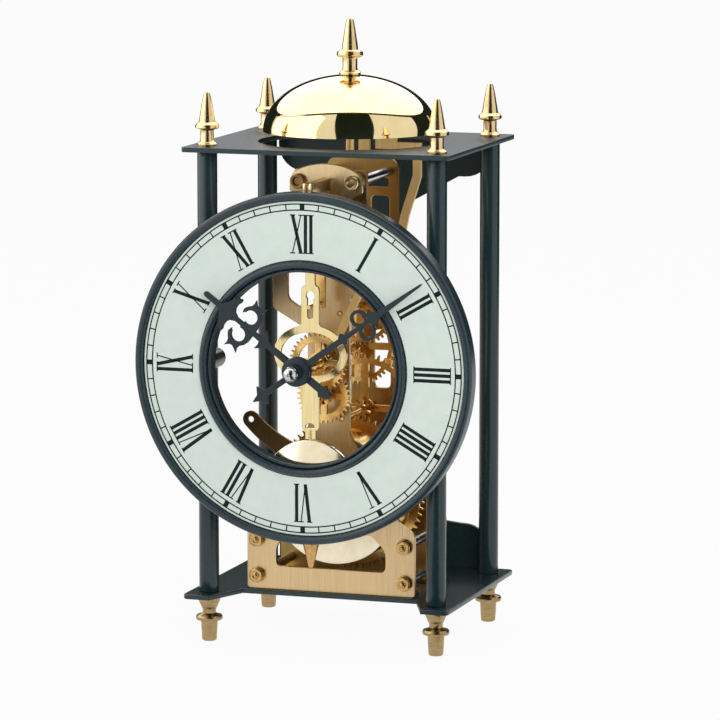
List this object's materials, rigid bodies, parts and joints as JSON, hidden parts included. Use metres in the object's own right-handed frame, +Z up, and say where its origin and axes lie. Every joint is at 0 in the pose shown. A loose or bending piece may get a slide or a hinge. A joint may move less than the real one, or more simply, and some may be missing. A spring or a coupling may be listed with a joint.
{
  "type": "skeleton table clock",
  "caption": "Skeleton table clock: pillars between two black plates, a brass bell on top, an open ring dial with pierced hands, and a front pendulum driven by a brass spring movement.",
  "frame": {"origin": "centre of the clock's bounding box, on the plane that its feet stand on", "axes": "+Z up, the dial faces -Y, +X to the right for someone who reads the dial"},
  "size_m": [0.14, 0.1234, 0.2506],
  "materials": {
    "black_lacquer": "satin blue-black lacquer",
    "polished_brass": "polished",
    "brushed_brass": "fine brushed",
    "bright_steel": "polished steel",
    "silvered_dial": "pale silvered, black print",
    "black_hands": "satin black"
  },
  "bodies": {
    "clock_frame": {"base_plate": "black_lacquer", "top_plate": "black_lacquer", "pillar_front_left": "black_lacquer", "foot_front_left": "polished_brass", "finial_front_left": "polished_brass", "pillar_front_right": "black_lacquer", "foot_front_right": "polished_brass", "finial_front_right": "polished_brass", "pillar_rear_left": "black_lacquer", "foot_rear_left": "polished_brass", "finial_rear_left": "polished_brass", "pillar_rear_right": "black_lacquer", "foot_rear_right": "polished_brass", "finial_rear_right": "polished_brass", "bell_stand": "brushed_brass", "bell": "polished_brass", "bell_finial": "polished_brass", "dial_body": "black_lacquer", "dial_face": "silvered_dial", "dial_stud_left": "black_lacquer", "dial_stud_right": "black_lacquer", "front_plate": "brushed_brass", "back_plate": "brushed_brass", "plate_pillar_low_left": "bright_steel", "plate_nut_low_left": "brushed_brass", "plate_pillar_low_right": "bright_steel", "plate_nut_low_right": "brushed_brass", "plate_pillar_high_left": "bright_steel", "plate_nut_high_left": "brushed_brass", "plate_pillar_high_right": "bright_steel", "plate_nut_high_right": "brushed_brass", "suspension_cock": "brushed_brass", "head_pillar_left": "bright_steel", "cock_screw_left": "brushed_brass", "head_pillar_right": "bright_steel", "cock_screw_right": "brushed_brass"},
    "minute_arbor": {"cannon_pinion": "brushed_brass", "minute_hand": "black_hands", "hand_nut": "bright_steel"},
    "hour_pipe": {"hour_wheel": "polished_brass", "hour_hand": "black_hands"},
    "motion_wheel": {"minute_wheel": "polished_brass"},
    "escape_arbor": {"escape_wheel": "polished_brass"},
    "fourth_arbor": {"fourth_wheel": "polished_brass"},
    "third_arbor": {"third_wheel": "polished_brass"},
    "centre_arbor": {"centre_wheel": "polished_brass"},
    "second_arbor": {"second_wheel": "polished_brass"},
    "barrel_drum": {"barrel": "polished_brass", "barrel_cap": "polished_brass", "mainspring": "bright_steel"},
    "winding_arbor": {"barrel_arbor": "bright_steel", "ratchet_wheel": "brushed_brass"},
    "click_pawl": {"click": "bright_steel"},
    "pendulum": {"suspension_spring": "bright_steel", "pendulum_rod": "polished_brass", "pendulum_bob": "polished_brass"},
    "pallets": {"pallet_anchor": "brushed_brass"},
    "rating": {"rating_nut": "polished_brass"},
    "hammer_arbor": {"hammer": "brushed_brass"},
    "strike": {"strike_lever": "brushed_brass"}
  },
  "joints": [
    {"name": "minute_hand_turn", "type": "hinge", "parent": "clock_frame", "child": "minute_arbor", "pos_m": [0, 0.01545, 0.1163], "axis": [0, 1, 0], "continuous": true},
    {"name": "hour_hand_turn", "type": "hinge", "parent": "clock_frame", "child": "hour_pipe", "pos_m": [0, 0.01545, 0.1163], "axis": [0, 1, 0], "continuous": true},
    {"name": "motion_wheel_turn", "type": "hinge", "parent": "clock_frame", "child": "motion_wheel", "pos_m": [0, 0.01545, 0.1019], "axis": [0, 1, 0], "continuous": true},
    {"name": "escape_wheel_turn", "type": "hinge", "parent": "clock_frame", "child": "escape_arbor", "pos_m": [0, 0.01545, 0.16651], "axis": [0, 1, 0], "continuous": true},
    {"name": "fourth_wheel_turn", "type": "hinge", "parent": "clock_frame", "child": "fourth_arbor", "pos_m": [-0.002, 0.01545, 0.15124], "axis": [0, 1, 0], "continuous": true},
    {"name": "third_wheel_turn", "type": "hinge", "parent": "clock_frame", "child": "third_arbor", "pos_m": [0.004, 0.01545, 0.13406], "axis": [0, 1, 0], "continuous": true},
    {"name": "centre_wheel_turn", "type": "hinge", "parent": "clock_frame", "child": "centre_arbor", "pos_m": [0, 0.01545, 0.1163], "axis": [0, 1, 0], "continuous": true},
    {"name": "second_wheel_turn", "type": "hinge", "parent": "clock_frame", "child": "second_arbor", "pos_m": [0.0048, 0.01545, 0.09156], "axis": [0, 1, 0], "continuous": true},
    {"name": "barrel_turn", "type": "hinge", "parent": "clock_frame", "child": "barrel_drum", "pos_m": [0, 0.01545, 0.0575], "axis": [0, 1, 0], "continuous": true},
    {"name": "winding_turn", "type": "hinge", "parent": "clock_frame", "child": "winding_arbor", "pos_m": [0, 0.01545, 0.0575], "axis": [0, 1, 0], "continuous": true},
    {"name": "click_lift", "type": "hinge", "parent": "clock_frame", "child": "click_pawl", "pos_m": [-0.01846, 0.01545, 0.06595], "axis": [0, 1, 0], "range_deg": [-12, 0]},
    {"name": "pendulum_swing", "type": "hinge", "parent": "clock_frame", "child": "pendulum", "pos_m": [0, 0.01545, 0.18181], "axis": [0, 1, 0], "range_deg": [-4, 4]},
    {"name": "pallet_rock", "type": "hinge", "parent": "clock_frame", "child": "pallets", "pos_m": [0, 0.01545, 0.18181], "axis": [0, 1, 0], "range_deg": [-4, 4]},
    {"name": "rating_nut_turn", "type": "hinge", "parent": "pendulum", "child": "rating", "pos_m": [0, -0.03405, 0.04661], "axis": [0, 0, 1], "continuous": true},
    {"name": "hammer_swing", "type": "hinge", "parent": "clock_frame", "child": "hammer_arbor", "pos_m": [0.0165, 0.01545, 0.15], "axis": [0, 1, 0], "range_deg": [-6, 3]},
    {"name": "strike_lever_turn", "type": "hinge", "parent": "clock_frame", "child": "strike", "pos_m": [-0.009, 0.01545, 0.0745], "axis": [0, 1, 0], "range_deg": [-10, 10]}
  ],
  "couplings": [
    {"joint": "hour_hand_turn", "follows": "minute_hand_turn", "ratio": 0.083333},
    {"joint": "motion_wheel_turn", "follows": "minute_hand_turn", "ratio": -0.33333},
    {"joint": "fourth_wheel_turn", "follows": "escape_wheel_turn", "ratio": -0.22222},
    {"joint": "third_wheel_turn", "follows": "escape_wheel_turn", "ratio": 0.037037},
    {"joint": "centre_wheel_turn", "follows": "escape_wheel_turn", "ratio": -0.0061728},
    {"joint": "second_wheel_turn", "follows": "escape_wheel_turn", "ratio": 0.0010288},
    {"joint": "barrel_turn", "follows": "escape_wheel_turn", "ratio": -0.00011431},
    {"joint": "pallet_rock", "follows": "pendulum_swing", "ratio": 1}
  ]
}
